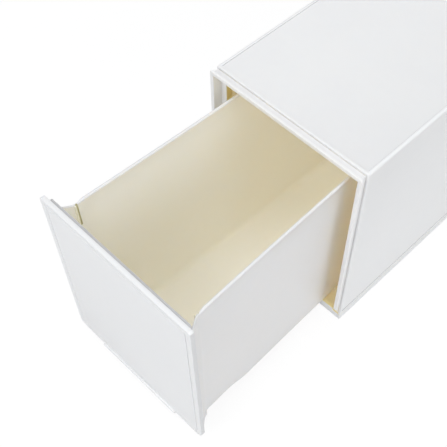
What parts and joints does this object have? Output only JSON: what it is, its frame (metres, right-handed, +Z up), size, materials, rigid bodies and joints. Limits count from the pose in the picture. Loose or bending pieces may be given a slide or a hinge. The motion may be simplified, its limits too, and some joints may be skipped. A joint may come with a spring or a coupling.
{
  "type": "desk organizer",
  "caption": "Tall, deep plastic desk organizer case with one pull-out drawer, standing on a flat base.",
  "frame": {"origin": "middle of the case's underside, on the base tray's centre pad", "axes": "+Z up, +Y from the front of the case to its back, the drawer opens towards -Y"},
  "size_m": [0.14, 0.5208, 0.188],
  "materials": {
    "case_plastic": "fine satin moulded polypropylene, cool white",
    "frame_plastic": "satin moulded polypropylene, white",
    "drawer_plastic": "smooth, slightly translucent polypropylene, warm white inside",
    "face_plastic": "satin moulded polypropylene, white"
  },
  "bodies": {
    "case": {"case_shell": "case_plastic", "base_tray": "case_plastic", "front_frame": "frame_plastic"},
    "drawer": {"drawer_tub": "drawer_plastic", "drawer_front": "drawer_plastic", "face_plate": "face_plastic"}
  },
  "joints": [
    {"name": "drawer_slide", "type": "slide", "parent": "case", "child": "drawer", "axis": [0, -1, 0], "range_m": [-0.1458, 0.16]}
  ]
}
